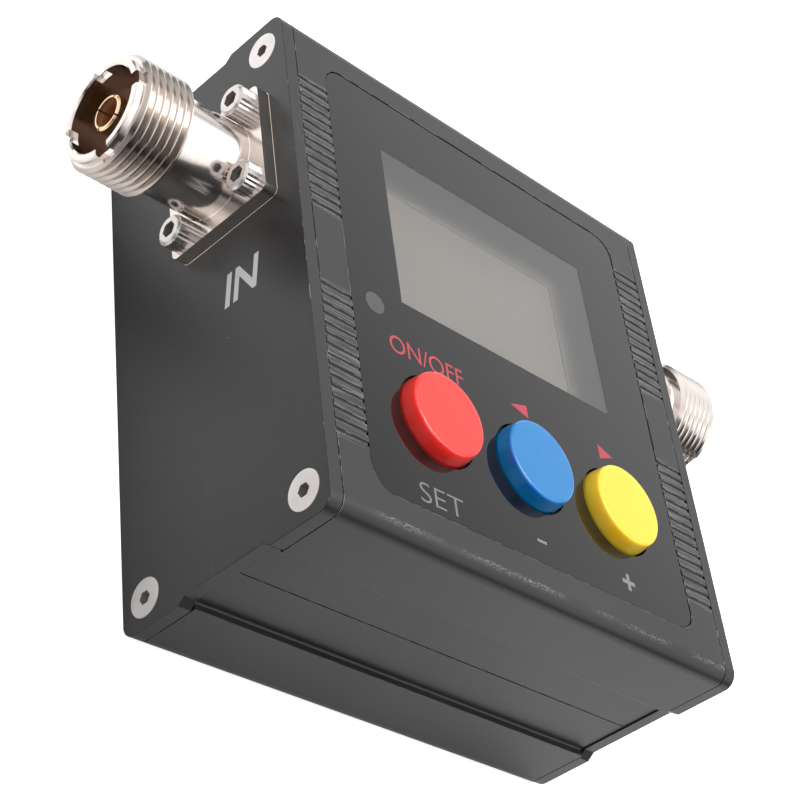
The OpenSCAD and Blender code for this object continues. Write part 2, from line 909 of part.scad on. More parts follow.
// One thread crest's points after the root before it, as [radius, height]
function crest(z) = [
  [root_r, z - thread_pitch / 2],
  [thread_r, z - thread_flat / 2],
  [thread_r, z + thread_flat / 2]
];

module jack_profile() {
  crests = [
    for (i = [0 : thread_count - 1], point = crest(thread_start + i * thread_pitch)) point
  ];
  polygon(concat(
    [[0, -plate_t], [rear_d / 2, -plate_t], [rear_d / 2, 0], [barrel_d / 2 + foot_edge, 0],
     [barrel_d / 2 + foot_edge, flange_t], [barrel_d / 2, flange_t + foot_edge],
     [barrel_d / 2, thread_start - thread_pitch / 2]],
    crests,
    [[root_r, thread_end], [nose_d / 2, thread_end], [nose_d / 2, jack_l - rim_edge],
     [nose_d / 2 - rim_edge, jack_l], [0, jack_l]]
  ));
}

module jack_body() {
  difference() {
    union() {
      rotate_extrude() jack_profile();
      linear_extrude(flange_t) round_rect(flange_s, flange_s, flange_r);
      linear_extrude(flange_lip_t) round_rect(lip_s, lip_s, flange_r + flange_lip);
    }
    translate([0, 0, cavity_floor]) cylinder(h = cavity_depth + over, d = cavity_d);
    translate([0, 0, jack_l - rim_edge])
      cylinder(h = 2 * rim_edge, d1 = cavity_d, d2 = cavity_d + 4 * rim_edge);
    cylinder(h = 4 * jack_l, d = core_d + 2 * core_gap, center = true);
    for (a = [0, 90])
      rotate([0, 0, a]) box([nose_d + over, notch_w, notch_depth + over], [0, 0, jack_l - notch_depth]);
    flange_places() translate([0, 0, -over])
      cylinder(h = flange_t + 2 * over, d = cap_screw_d + 2 * screw_gap);
  }
}

module jack_insulator() {
  difference() {
    union() {
      translate([0, 0, -plate_t]) cylinder(h = insulator_z + plate_t, d = core_d);
      translate([0, 0, cavity_floor]) cylinder(h = disc_t, d = cavity_d - 2 * core_gap);
    }
    translate([0, 0, -plate_t - over]) cylinder(h = plate_t + 2 * over, d = solder_d + 2 * core_gap);
    cylinder(h = insulator_z + over, d = contact_d + 2 * core_gap);
  }
}

module jack_contact() {
  difference() {
    union() {
      cylinder(h = contact_tip - contact_edge, d = contact_d);
      translate([0, 0, contact_tip - contact_edge])
        cylinder(h = contact_edge, d1 = contact_d, d2 = contact_d - 2 * contact_edge);
      translate([0, 0, -pin_l]) cylinder(h = pin_l + bite, d = solder_d);
    }
    translate([0, 0, contact_tip - contact_depth]) cylinder(h = contact_depth + over, d = contact_bore);
    for (a = [45, 135])
      rotate([0, 0, a]) box([contact_d + over, slit_w, slit_l + over], [0, 0, contact_tip - slit_l]);
  }
}

// A knurled outline, with its ridges on the radius r
module knurl(r) {
  polygon([
    for (i = [0 : 2 * knurl_count - 1])
      let (a = i * 180 / knurl_count, ridge = r - (i % 2) * knurl_depth)
      [ridge * cos(a), ridge * sin(a)]
  ]);
}

module cap_screw() {
  turned_d = cap_head_d - 2 * knurl_depth;
  knurl_h = cap_head_h - cap_head_edge;
  difference() {
    union() {
      linear_extrude(knurl_h) knurl(cap_head_d / 2);
      translate([0, 0, knurl_h])
        cylinder(h = cap_head_edge, d1 = turned_d, d2 = turned_d - 2 * cap_head_edge);
      translate([0, 0, -cap_screw_l]) cylinder(h = cap_screw_l + bite, d = cap_screw_d);
    }
    translate([0, 0, cap_head_h - cap_hex_depth])
      cylinder(h = cap_hex_depth + over, d = cap_hex / cos(30), $fn = 6);
  }
}

module jack_screws() {
  at_left_jack() flange_places() translate([0, 0, flange_t]) cap_screw();
}

module left_jack_body() {
  color("silver") at_left_jack() jack_body();
}

module left_jack_insulator() {
  color("saddlebrown") at_left_jack() jack_insulator();
}

module left_jack_contact() {
  color("goldenrod") at_left_jack() jack_contact();
}

module left_jack_screws() {
  color("silver") jack_screws();
}

module right_jack_body() {
  color("silver") mirror([1, 0, 0]) at_left_jack() jack_body();
}

module right_jack_insulator() {
  color("saddlebrown") mirror([1, 0, 0]) at_left_jack() jack_insulator();
}

module right_jack_contact() {
  color("goldenrod") mirror([1, 0, 0]) at_left_jack() jack_contact();
}

module right_jack_screws() {
  color("silver") mirror([1, 0, 0]) jack_screws();
}

// Battery

module battery_pad() {
  color("gray") box([battery_l, battery_w, pad_t], [-battery_x, -battery_y, back_t]);
}

module battery() {
  color("lightsteelblue") translate([-battery_x, -battery_y, guard_z])
    along_x(battery_l) round_rect(battery_w, battery_t, battery_r);
}

module battery_guard() {
  color("darkgreen") box([guard_l, guard_w, guard_h],
    [battery_end + guard_l / 2, -battery_y, guard_z - guard_h / 2]);
}

// Each lead runs out of the guard board, bends up and goes into the plug
module battery_leads() {
  foot_z = guard_z + lead_bend;
  color("red") for (s = [-1, 1]) translate([lead_x, s * lead_pitch / 2 - battery_y, foot_z]) {
    cylinder(h = plug_z - foot_z, d = lead_d);
    rotate([90, 0, 0]) rotate([0, 0, -90]) translate([0, -lead_bend, 0])
      rotate_extrude(angle = 90) translate([lead_bend, 0]) circle(d = lead_d);
  }
}

module battery_plug() {
  color("ivory") box([plug_l, plug_w, plug_h], [lead_x, -battery_y, plug_z]);
}

module battery_socket() {
  color("ivory") box([plug_l + 2 * socket_rim, plug_w + 2 * socket_rim, socket_h],
    [lead_x, -battery_y, board_z - socket_h]);
}

// Charging socket

module charging_socket() {
  mouth = usb_l - 2 * usb_wall;
  color("silver") difference() {
    box([usb_l, usb_w, usb_h], [usb_end - usb_l / 2, -usb_y, board_z - usb_h]);
    box([mouth + over, usb_w - 2 * usb_wall, usb_h - 2 * usb_wall],
        [usb_end - mouth / 2 + over / 2, -usb_y, board_z - usb_h + usb_wall]);
  }
}

module charging_tongue() {
  reach = usb_l - 2 * usb_wall - usb_inset;
  color("black") box([reach, tongue_w, tongue_t],
    [usb_end - usb_l + 2 * usb_wall + reach / 2, -usb_y, usb_z - tongue_t / 2]);
}

front_shell();
rear_shell();
left_end_plate();
right_end_plate();
left_plate_screws();
right_plate_screws();
front_panel();
panel_tape();
display_window();
indicator_window();
red_cap();
blue_cap();
yellow_cap();
red_plunger();
blue_plunger();
yellow_plunger();
switch_bodies();
switch_covers();
main_board();
display_frame();
display_glass();
display_pins();
status_lamp();
microcontroller();
small_chips();
through_line();
sense_lines();
detector_parts();
shield_can();
left_jack_body();
left_jack_insulator();
left_jack_contact();
left_jack_screws();
right_jack_body();
right_jack_insulator();
right_jack_contact();
right_jack_screws();
battery();
battery_pad();
battery_guard();
battery_leads();
battery_plug();
battery_socket();
charging_socket();
charging_tongue();
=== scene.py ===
# %% [markdown]
# # Dressing a small radio power meter
# The object is a palm-sized meter in a black anodised case: two extruded half shells, two end plates
# with a coaxial jack each, a glossy front panel with a display window, and three coloured push caps.
# The solid model already has every piece at its real size, so this lesson never moves one of them. It
# sets the camera, floor and light, then gives each piece the finish that the real one has.

# %% Load the solid model
import math

import bmesh
import bpy
from mathutils import Matrix, Vector


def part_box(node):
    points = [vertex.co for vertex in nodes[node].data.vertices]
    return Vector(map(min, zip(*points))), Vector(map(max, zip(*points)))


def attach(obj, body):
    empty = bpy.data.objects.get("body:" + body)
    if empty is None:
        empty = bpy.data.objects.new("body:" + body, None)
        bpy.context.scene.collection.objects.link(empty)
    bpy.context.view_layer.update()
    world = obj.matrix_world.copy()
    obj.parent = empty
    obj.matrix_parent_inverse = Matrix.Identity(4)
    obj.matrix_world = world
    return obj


MM = 0.001
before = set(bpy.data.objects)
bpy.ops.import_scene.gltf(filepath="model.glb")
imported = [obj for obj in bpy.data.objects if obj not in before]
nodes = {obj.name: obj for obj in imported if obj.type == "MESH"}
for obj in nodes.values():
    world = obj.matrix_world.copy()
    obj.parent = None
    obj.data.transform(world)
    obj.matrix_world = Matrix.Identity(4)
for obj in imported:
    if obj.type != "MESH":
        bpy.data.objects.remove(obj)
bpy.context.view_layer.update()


def in_mm(corners):
    """Points in millimetres, for printing."""
    return [[round(value / MM, 2) for value in corner] for corner in corners]


print("solid pieces:", len(nodes))

# %% [markdown]
# ## The camera
# The meter lies on its back, with X from jack to jack, Y up the face and Z out of the face. The picture
# is taken from the left, low on the face and above it, with the camera rolled over so that the meter
# seems to stand. A camera is easiest to aim with a place, a point that it looks at and a roll.

# %% Camera
CAMERA_AT = Vector((-163.0, -153.37, 155.88)) * MM
AIM_AT = Vector((-21.307, -13.105, 35.0)) * MM
ROLL = math.radians(55.057)
LENS = 89.41
SENSOR = 36.0
SHIFT = (-0.0018, -0.0421)
NEAREST = 10.0 * MM


def aimed(at, target, roll=0.0):
    """The placing matrix of a camera or light at a point, looking at a target."""
    look = (target - at).normalized()
    level = look.cross(Vector((0, 0, 1))).normalized()
    upright = level.cross(look)
    right = level * math.cos(roll) + upright * math.sin(roll)
    up = right.cross(look)
    turn = Matrix((right, up, -look)).transposed()
    return Matrix.Translation(at) @ turn.to_4x4()


lens = bpy.data.cameras.new("camera")
lens.lens = LENS
lens.sensor_width = SENSOR
lens.shift_x, lens.shift_y = SHIFT
lens.clip_start = NEAREST
camera = bpy.data.objects.new("camera", lens)
camera.matrix_world = aimed(CAMERA_AT, AIM_AT, ROLL)
bpy.context.scene.collection.objects.link(camera)
bpy.context.scene.camera = camera
print("camera to aim point, mm:", round((AIM_AT - CAMERA_AT).length / MM, 1))

# %% [markdown]
# ## Node helpers
# Every finish here is made of shader nodes. Placing and wiring a node takes many lines, so two short
# helpers do it: one fills or links an input, and the other puts a node in a tree with all its inputs.

# %% Node helpers
def feed(tree, socket, value):
    """Links a socket to another one, or gives it a plain value."""
    if isinstance(value, bpy.types.NodeSocket):
        tree.links.new(value, socket)
    elif socket.type == "RGBA":
        socket.default_value = (*value[:3], 1.0)
    else:
        socket.default_value = value


def place(tree, kind, settings=None, **inputs):
    """Puts a node in a tree. In the names of inputs, an underscore stands for a space."""
    node = tree.nodes.new(kind)
    for name, value in (settings or {}).items():
        setattr(node, name, value)
    for name, value in inputs.items():
        feed(tree, node.inputs[name.replace("_", " ")], value)
    return node


print("helpers:", feed.__name__, place.__name__)

# %% [markdown]
# ## Sums and blends
# A mask is a number from 0 to 1 for every point of a surface. A finish is mostly masks that blend one
# colour into another, so these helpers do sums on masks, compare directions and blend colours.

# %% Sums and blends
def calc(tree, operation, first, second=0.0):
    """The result of a sum on two values. A product is held between 0 and 1, since it is a mask."""
    node = place(tree, "ShaderNodeMath", {"operation": operation, "use_clamp": operation == "MULTIPLY"})
    feed(tree, node.inputs[0], first)
    feed(tree, node.inputs[1], second)
    return node.outputs[0]


def product(tree, first, *masks):
    """Masks multiplied with each other."""
    for mask in masks:
        first = calc(tree, "MULTIPLY", first, mask)
    return first


def dot(tree, first, second):
    """How far one direction goes along another."""
    node = place(tree, "ShaderNodeVectorMath", {"operation": "DOT_PRODUCT"})
    feed(tree, node.inputs[0], first)
    feed(tree, node.inputs[1], second)
    return node.outputs["Value"]


def remap(tree, value, low, high, to_low=0.0, to_high=1.0):
    """A value moved from one range to another, and held within it."""
    node = place(
        tree, "ShaderNodeMapRange", Value=value, From_Min=low, From_Max=high, To_Min=to_low, To_Max=to_high
    )
    return node.outputs["Result"]


def mix(tree, amount, first, second):
    """A colour between two colours."""
    node = place(tree, "ShaderNodeMix", {"data_type": "RGBA"})
    feed(tree, node.inputs[0], amount)
    feed(tree, node.inputs[6], first)
    feed(tree, node.inputs[7], second)
    return node.outputs[2]


def overlaid(tree, colour, over, mask, strength):
    """A colour with another one over it where a mask is, at some strength."""
    return mix(tree, calc(tree, "MULTIPLY", mask, strength), colour, over)


print("helpers:", ", ".join(helper.__name__ for helper in (calc, product, dot, remap, mix, overlaid)))

# %% [markdown]
# ## Places and noise
# A pattern has to know where a point is. The object's own coordinates serve best, because they are
# metres and stay with a piece that moves. Noise then breaks up every even surface. It nearly always lies
# in the middle of its range, so one helper spreads that middle out.

# %% Places and noise
NOISE_LOW, NOISE_HIGH = 0.3, 0.7


def own_place(tree):
    """Where a point is in the object's own coordinates, which are metres."""
    return place(tree, "ShaderNodeTexCoord").outputs["Object"]


def axes(tree, vector):
    """The X, Y and Z of a vector."""
    return place(tree, "ShaderNodeSeparateXYZ", Vector=vector).outputs


def noise(tree, vector, scale, detail):
    """Soft noise, from 0 to 1."""
    return place(tree, "ShaderNodeTexNoise", Vector=vector, Scale=scale, Detail=detail).outputs["Fac"]


def spread(tree, value, low, high):
    """Noise spread out between two values."""
    return remap(tree, value, NOISE_LOW, NOISE_HIGH, low, high)


def covering(tree, value, cover, softness):
    """A mask of the places where noise is above one minus the cover, with a soft edge."""
    limit = calc(tree, "SUBTRACT", 1.0, cover)
    return remap(tree, calc(tree, "SUBTRACT", value, limit), 0.0, softness)


print("noise is spread from", NOISE_LOW, "to", NOISE_HIGH)

# %% [markdown]
# ## Materials and groups
# A finish that several pieces share is one material, with one Principled shader. An effect that several
# materials share, such as wear or dust, is a node group: it is built once, and each material places it
# with values of its own. These helpers make both, and put a material on solid pieces.

# %% Materials and groups
def new_group(name, inputs, outputs, normal=False):
    """A shader node group with number sockets: its tree, its inputs and its outputs."""
    tree = bpy.data.node_groups.new(name, "ShaderNodeTree")
    for label, value in inputs.items():
        socket = tree.interface.new_socket(label, in_out="INPUT", socket_type="NodeSocketFloat")
        socket.default_value = value
    for label in outputs:
        tree.interface.new_socket(label, in_out="OUTPUT", socket_type="NodeSocketFloat")
    if normal:
        tree.interface.new_socket("Normal", in_out="OUTPUT", socket_type="NodeSocketVector")
    given = tree.nodes.new("NodeGroupInput").outputs
    result = tree.nodes.new("NodeGroupOutput").inputs
    print("group:", name)
    return tree, given, result


def use(tree, group, **inputs):
    """The outputs of a group placed in a material."""
    node = place(tree, "ShaderNodeGroup", {"node_tree": group}, **inputs)
    return node.outputs


def new_material(name, **inputs):
    """A material with one Principled shader: the material, its tree and its shader."""
    material = bpy.data.materials.new(name)
    material.use_nodes = True
    tree = material.node_tree
    tree.nodes.clear()
    output = tree.nodes.new("ShaderNodeOutputMaterial")
    shader = place(tree, "ShaderNodeBsdfPrincipled", **inputs)
    tree.links.new(shader.outputs["BSDF"], output.inputs["Surface"])
    return material, tree, shader


def raise_bumps(tree, shader, height, depth, normal=None):
    """Bends a shader's normals by a height that runs from 0 to 1, with its full depth in metres."""
    bump = place(tree, "ShaderNodeBump", Height=height, Strength=1.0, Distance=depth)
    if normal:
        tree.links.new(normal, bump.inputs["Normal"])
    tree.links.new(bump.outputs["Normal"], shader.inputs["Normal"])


def finish(material, *names):
    """Gives solid pieces one material."""
    for name in names:
        nodes[name].data.materials.clear()
        nodes[name].data.materials.append(material)
    print(material.name, "on", ", ".join(names))


print("pieces to finish:", len(nodes))

# %% [markdown]
# ## The floor
# A meter like this is photographed on white paper under a white tent. The paper is matt and hardly
# uneven, so one flat face does. The tent is open on the camera's side, so the paper's colour is painted
# greyer that way as painted shade, and the sides of the case that mirror it stay dark. Only the camera
# sees the paper glow, because a table that is lit for a picture comes out white.

# %% Floor
FLOOR_HALF = 3.0
FLOOR_DROP = 0.05 * MM
PAPER = ((0.83, 0.83, 0.83), (0.87, 0.87, 0.87))
PAINTED_SHADE_PAPER = (0.2, 0.2, 0.2)
CAMERA_SIDE = (-0.7, -0.7, 0.0)
SHADE_FROM, SHADE_TO = 40.0 * MM, 85.0 * MM
BLACK, WHITE = (0.0, 0.0, 0.0), (1.0, 1.0, 1.0)

floor_mesh = bpy.data.meshes.new("floor")
ways = ((-1, -1), (1, -1), (1, 1), (-1, 1))
corners = [(x * FLOOR_HALF, y * FLOOR_HALF, -FLOOR_DROP) for x, y in ways]
floor_mesh.from_pydata(corners, [], [(0, 1, 2, 3)])
floor = bpy.data.objects.new("floor", floor_mesh)
bpy.context.scene.collection.objects.link(floor)

paper, tree, shader = new_material("paper_floor", Roughness=0.9, Emission_Strength=0.8)
cloud = place(tree, "ShaderNodeTexNoise", Scale=3.0, Detail=2.0)
lit = mix(tree, cloud.outputs["Fac"], *PAPER)
# Painted shade: the paper's base colour greys towards the camera's side.
shaded = remap(tree, dot(tree, own_place(tree), CAMERA_SIDE), SHADE_FROM, SHADE_TO)
feed(tree, shader.inputs["Base Color"], mix(tree, shaded, lit, PAINTED_SHADE_PAPER))
seen = place(tree, "ShaderNodeLightPath").outputs["Is Camera Ray"]
feed(tree, shader.inputs["Emission Color"], mix(tree, seen, BLACK, WHITE))
floor.data.materials.append(paper)
print("floor half width, m:", FLOOR_HALF)

# %% [markdown]
# ## The lights
# A sun with a wide angle gives the soft shadows of a lamp behind cloth. The stronger one shines from
# nearly straight above. The weaker one comes from the camera's side and lifts the shaded faces.

# %% Lights
def broad_sun(name, towards, spread_angle, strength):
    """A soft light from a direction, as wide as an angle in degrees."""
    light = bpy.data.lights.new(name, "SUN")
    light.angle = math.radians(spread_angle)
    light.energy = strength
    lamp = bpy.data.objects.new(name, light)
    lamp.matrix_world = aimed(Vector(towards), Vector((0, 0, 0)))
    bpy.context.scene.collection.objects.link(lamp)
    print("light:", name, strength)


broad_sun("top_light", (0.1, 0.15, 0.98), 30, 1.3)
broad_sun("front_fill", (-0.6, -0.5, 0.6), 60, 0.5)

# %% [markdown]
# ## The sky
# The tent itself is the sky: cloth overhead that is dimmer towards the top, a bright wall behind the
# meter, a glow on the left and on the right, and a lamp above. It is dark near the ground, and dim
# towards the mouth at the lower side of the face, where it shows the room. Metal and gloss need that
# contrast, because a mirror looks like metal only if it has something dark to mirror. Each part is a
# direction with a fading edge, and the sum of the parts is the brightness.

# %% Sky
SKY_LOW = 0.03
TENT_MOUTH = (-0.35, -0.92, 0.15)
TENT_BACK = (0.7, 0.7, 0.0)
TENT_LEFT = (-0.75, 0.55, 0.35)
TENT_RIGHT = (0.66, -0.38, 0.65)
TENT_LAMP = (0.2, 0.2, 0.96)

sky = bpy.data.worlds.new("studio")
sky.use_nodes = True
bpy.context.scene.world = sky
tree = sky.node_tree
facing = place(tree, "ShaderNodeTexCoord").outputs["Generated"]
above = axes(tree, facing)["Z"]


def part_of_sky(direction, edge, full, outside, inside):
    """A value that changes towards a direction, from the cosine of its edge to that of its full part."""
    return remap(tree, dot(tree, facing, direction), edge, full, outside, inside)


cloth = part_of_sky(TENT_MOUTH, 0.5, 0.85, 1.0, 0.35)
wall = part_of_sky(TENT_BACK, 0.5, 0.8, 0.0, 1.0)
back_glow = part_of_sky(TENT_BACK, 0.8, 1.0, 0.0, 0.75)
left_glow = part_of_sky(TENT_LEFT, 0.7, 0.9, 0.0, 0.55)
right_glow = part_of_sky(TENT_RIGHT, 0.86, 0.96, 0.0, 0.9)
lamp_glow = part_of_sky(TENT_LAMP, 0.82, 0.9, 0.0, 1.9)
off_ground = remap(tree, above, 0.1, 0.45)
dimming = remap(tree, above, 0.46, 0.58, 0.74, 0.58)
brightness = product(tree, calc(tree, "MAXIMUM", off_ground, wall), cloth, dimming)
for part in (back_glow, left_glow, right_glow, lamp_glow, SKY_LOW):
    brightness = calc(tree, "ADD", brightness, part)
background = tree.nodes["Background"].inputs
feed(tree, background["Color"], WHITE)
feed(tree, background["Strength"], brightness)
bpy.context.scene.view_settings.view_transform = "Standard"
print("sky:", sky.name)

# %% [markdown]
# ## Grain
# No real surface is one flat value. Anodising, moulding and plating all leave a fine grain, and handling
# leaves soft patches. One group makes both from noise in the object's own coordinates, which are
# metres, so a scale of 2000 is a grain of about half a millimetre.

# %% Group: grain
grain, given, result = new_group("grain", {"Scale": 2000.0, "Patch Scale": 40.0}, ["Fine", "Patches"])
where = own_place(grain)
grain.links.new(noise(grain, where, given["Scale"], 3.0), result["Fine"])
grain.links.new(noise(grain, where, given["Patch Scale"], 2.0), result["Patches"])

# %% [markdown]
# ## Worn edges
# Black anodising is a thin skin, and it rubs through along edges first. The Bevel node gives the normal
# that a rounded edge would have. Where that differs from the true normal there is an edge, and noise
# breaks the band up into nicks. The group hands the rounded normal on too, so that a sharp edge catches
# the thin line of light that a real one does.

# %% Group: worn edges
BEVEL_SAMPLES = 8

worn_edges, given, result = new_group(
    "worn_edges", {"Width": 0.3 * MM, "Nick Scale": 900.0, "Cover": 0.5}, ["Mask"], normal=True
)
bevel = place(worn_edges, "ShaderNodeBevel", {"samples": BEVEL_SAMPLES}, Radius=given["Width"])
rounded = bevel.outputs["Normal"]
true_normal = place(worn_edges, "ShaderNodeNewGeometry").outputs["Normal"]
edge = remap(worn_edges, dot(worn_edges, rounded, true_normal), 0.97, 0.8)
nicks = noise(worn_edges, own_place(worn_edges), given["Nick Scale"], 4.0)
rubbed = covering(worn_edges, nicks, given["Cover"], 0.06)
worn_edges.links.new(calc(worn_edges, "MULTIPLY", edge, rubbed), result["Mask"])
worn_edges.links.new(rounded, result["Normal"])

# %% [markdown]
# ## Hairline scratches
# Things that are handled pick up hairline scratches in patches. The borders between the cells of a
# Voronoi pattern are thin lines, and a pattern that is drawn out in one direction makes them long and
# nearly straight. A second, soft noise keeps only some of them.

# %% Group: hairlines
HAIR_TURN = (0.3, 0.5, 0.6)
HAIR_STRETCH = (1.0, 0.05, 1.0)
HAIR_PATCHES = 90.0

hairlines, given, result = new_group(
    "hairlines", {"Scale": 90.0, "Thickness": 0.01, "Cover": 0.4}, ["Mask"]
)
where = own_place(hairlines)
drawn_out = place(hairlines, "ShaderNodeMapping", Vector=where, Rotation=HAIR_TURN, Scale=HAIR_STRETCH)
borders = place(
    hairlines, "ShaderNodeTexVoronoi", {"feature": "DISTANCE_TO_EDGE"}, Vector=drawn_out.outputs[0],
    Scale=given["Scale"],
)
hair = calc(hairlines, "LESS_THAN", borders.outputs["Distance"], given["Thickness"])
patch = covering(hairlines, noise(hairlines, where, HAIR_PATCHES, 2.0), given["Cover"], 0.1)
hairlines.links.new(calc(hairlines, "MULTIPLY", hair, patch), result["Mask"])

# %% [markdown]
# ## Specks
# Dust and tiny nicks are dots, few and far apart. In a Voronoi pattern the distance to each cell's point
# makes round dots, and the cell's own random colour picks the few cells that get one.

# %% Group: specks
specks, given, result = new_group("specks", {"Scale": 300.0, "Size": 0.08, "Share": 0.1}, ["Mask"])
cells = place(specks, "ShaderNodeTexVoronoi", Vector=own_place(specks), Scale=given["Scale"])
speck = calc(specks, "LESS_THAN", cells.outputs["Distance"], given["Size"])
lot = place(specks, "ShaderNodeSeparateColor", Color=cells.outputs["Color"]).outputs["Red"]
chosen = calc(specks, "LESS_THAN", lot, given["Share"])
specks.links.new(calc(specks, "MULTIPLY", speck, chosen), result["Mask"])

# %% [markdown]
# ## Turned lines
# A turned part carries the fine rings that the cutting tool left. Both jacks are turned about X, so a
# noise that changes with X alone gives rings all round them.

# %% Group: turned lines
turned_lines, given, result = new_group("turned_lines", {"Scale": 4000.0}, ["Lines"])
along = axes(turned_lines, own_place(turned_lines))["X"]
rings = place(
    turned_lines, "ShaderNodeTexNoise", {"noise_dimensions": "1D"}, W=along, Scale=given["Scale"],
    Detail=3.0,
)
turned_lines.links.new(rings.outputs["Fac"], result["Lines"])

# %% [markdown]
# ## Scuffs and streaks
# The meter slides on the long lower edge of its face, so that edge has a broken line of scuffs. They
# follow the normal: they sit where the edge starts to turn. Beside the panel the flat tops of the ribs
# between the fine grooves carry light streaks along X, which are partly rubbing and partly a painted
# sheen that the rib tops catch. Both are masks of noise that is drawn out along X, kept only where the
# place and the normal are right. Only the shells have them, so they are plain functions and not groups.

# %% Scuffs and streaks
PANEL_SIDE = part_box("front_panel")[1][0]
GROOVES_FROM, GROOVES_TO = 5.6 * MM, 28.2 * MM
SCUFF_STRETCH = (0.35, 1.0, 1.0)
STREAK_STRETCH = (0.03, 1.0, 1.0)


def stretched(tree, vector, scale):
    """Coordinates that draw a pattern out."""
    return place(tree, "ShaderNodeMapping", Vector=vector, Scale=scale).outputs[0]


def scuffed_edge(tree):
    """A broken line of scuffs along the lower edge of the face."""
    coordinates = place(tree, "ShaderNodeTexCoord").outputs
    normal = axes(tree, coordinates["Normal"])
    turning = remap(tree, normal["Y"], -0.02, -0.12)
    ended = remap(tree, normal["Y"], -0.45, -0.2)
    forward = remap(tree, normal["Z"], 0.7, 0.8)
    scuffs = noise(tree, stretched(tree, coordinates["Object"], SCUFF_STRETCH), 6500.0, 4.0)
    stretches = noise(tree, coordinates["Object"], 110.0, 1.0)
    broken = product(tree, remap(tree, scuffs, 0.46, 0.62), remap(tree, stretches, 0.4, 0.58))
    return product(tree, turning, ended, forward, broken)


def rib_rubbing_and_sheen(tree):
    """Fine light streaks on the ribs between the grooves beside the panel, partly rubbing and partly
    painted sheen.
    """
    coordinates = place(tree, "ShaderNodeTexCoord").outputs
    at = axes(tree, coordinates["Object"])
    beside = calc(tree, "GREATER_THAN", calc(tree, "ABSOLUTE", at["X"]), PANEL_SIDE)
    from_middle = calc(tree, "ABSOLUTE", at["Y"])
    begun = calc(tree, "GREATER_THAN", from_middle, GROOVES_FROM)
    not_ended = calc(tree, "LESS_THAN", from_middle, GROOVES_TO)
    flat = calc(tree, "GREATER_THAN", axes(tree, coordinates["Normal"])["Z"], 0.9)
    streaks = noise(tree, stretched(tree, coordinates["Object"], STREAK_STRETCH), 4200.0, 3.0)
    return product(tree, beside, begun, not_ended, flat, remap(tree, streaks, 0.48, 0.62))


print("grooves, mm from the middle:", in_mm([(GROOVES_FROM, GROOVES_TO)]))

# %% [markdown]
# ## Anodised aluminium
# The shells and end plates are blasted and dyed black, so they are dark under a thin clear oxide that
# shines a little. A dark base with a middling roughness gives that. Bare metal shows where the edges
# have rubbed, and more of it towards the face, which is handled most. Dust sits on the flats.

# %% Anodised case
BARE_METAL = (0.58, 0.58, 0.59)
DUST_AND_SHEEN = (0.3, 0.3, 0.3)
SPARED_Z, HANDLED_Z = 30.0 * MM, 34.0 * MM
SPARED_WEAR = 0.3


def anodised(name, dark, light, gloss, edge_cover, dust_share, scuffs=False):
    """Black anodising, with worn edges, dust and hairline scratches."""
    material, tree, shader = new_material(name, IOR=gloss)
    skin = use(tree, grain, Scale=2600.0, Patch_Scale=45.0)
    edges = use(tree, worn_edges, Width=0.15 * MM, Nick_Scale=700.0, Cover=edge_cover)
    handled = remap(tree, axes(tree, own_place(tree))["Z"], SPARED_Z, HANDLED_Z, SPARED_WEAR, 1.0)
    wear = calc(tree, "MULTIPLY", edges["Mask"], handled)
    hair = use(tree, hairlines, Scale=60.0, Thickness=0.003, Cover=0.4)["Mask"]
    dust = use(tree, specks, Scale=420.0, Size=0.07, Share=dust_share)["Mask"]
    colour = mix(tree, spread(tree, skin["Patches"], 0.0, 1.0), dark, light)
    colour = overlaid(tree, colour, DUST_AND_SHEEN, dust, 0.6)
    colour = overlaid(tree, colour, DUST_AND_SHEEN, hair, 0.06)
    if scuffs:
        colour = overlaid(tree, colour, DUST_AND_SHEEN, scuffed_edge(tree), 0.45)
        # Rib streaks: partly rubbing, partly a painted sheen on the rib tops.
        colour = overlaid(tree, colour, DUST_AND_SHEEN, rib_rubbing_and_sheen(tree), 0.3)
    colour = overlaid(tree, colour, BARE_METAL, wear, 0.7)
    feed(tree, shader.inputs["Base Color"], colour)
    feed(tree, shader.inputs["Metallic"], calc(tree, "MULTIPLY", wear, 0.5))
    feed(tree, shader.inputs["Roughness"], spread(tree, skin["Fine"], 0.3, 0.4))
    raise_bumps(tree, shader, skin["Fine"], 0.005 * MM, edges["Normal"])
    return material


shell_black = anodised(
    "anodised_shell", (0.012, 0.012, 0.013), (0.018, 0.018, 0.019), gloss=1.45, edge_cover=0.5,
    dust_share=0.025, scuffs=True,
)
# The end plates get a darker base than the shells: painted shade for the case's sides.
plate_black_painted_shade = anodised(
    "anodised_plate", (0.008, 0.008, 0.009), (0.013, 0.013, 0.014), gloss=1.47, edge_cover=0.41,
    dust_share=0.03,
)
finish(shell_black, "front_shell", "rear_shell")
finish(plate_black_painted_shade, "left_end_plate", "right_end_plate")

# %% [markdown]
# ## Front panel
# The panel is a sheet of glossy plastic, dark all through. Its gloss mirrors the caps, so the roughness
# stays low, with only a faint cloud of wiping marks and a few hairlines.

# %% Front panel
panel, tree, shader = new_material("panel_gloss", IOR=1.51)
skin = use(tree, grain, Scale=900.0, Patch_Scale=35.0)
hair = use(tree, hairlines, Scale=80.0, Thickness=0.002, Cover=0.4)["Mask"]
dust = use(tree, specks, Scale=330.0, Size=0.06, Share=0.02)["Mask"]
dark_sheet = mix(tree, skin["Patches"], (0.004, 0.004, 0.0045), (0.007, 0.007, 0.0075))
feed(tree, shader.inputs["Base Color"], overlaid(tree, dark_sheet, DUST_AND_SHEEN, dust, 0.7))
smeared = spread(tree, skin["Patches"], 0.04, 0.08)
scratched = calc(tree, "MULTIPLY", hair, 0.1)
feed(tree, shader.inputs["Roughness"], calc(tree, "ADD", smeared, scratched))
raise_bumps(tree, shader, skin["Fine"], 0.0003 * MM)
finish(panel, "front_panel")

